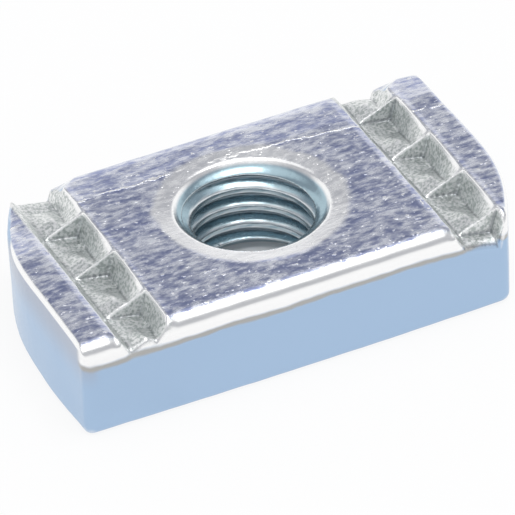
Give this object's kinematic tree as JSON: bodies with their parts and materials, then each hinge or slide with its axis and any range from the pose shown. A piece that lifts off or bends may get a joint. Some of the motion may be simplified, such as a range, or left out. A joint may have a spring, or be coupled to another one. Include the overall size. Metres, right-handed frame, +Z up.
{
  "type": "strut spring nut",
  "caption": "Flat steel channel nut with a tapped hole, toothed grooves that grip the lips of a strut, and two swept corners to turn it in through the slot.",
  "frame": {"origin": "on the axis of the tapped hole, at the flat underside the nut lies on", "axes": "+X along the length of the nut, across the slot of the strut when fitted; +Y across its width, towards the back side; +Z up the axis of the hole, out of the toothed face"},
  "size_m": [0.0342, 0.02, 0.0071],
  "materials": {
    "zinc_plate": "bright zinc plating with a blue passivated tint, on mild steel with rolled and pressed marks"
  },
  "bodies": {
    "root": {"channel_nut": "zinc_plate"}
  },
  "joints": []
}
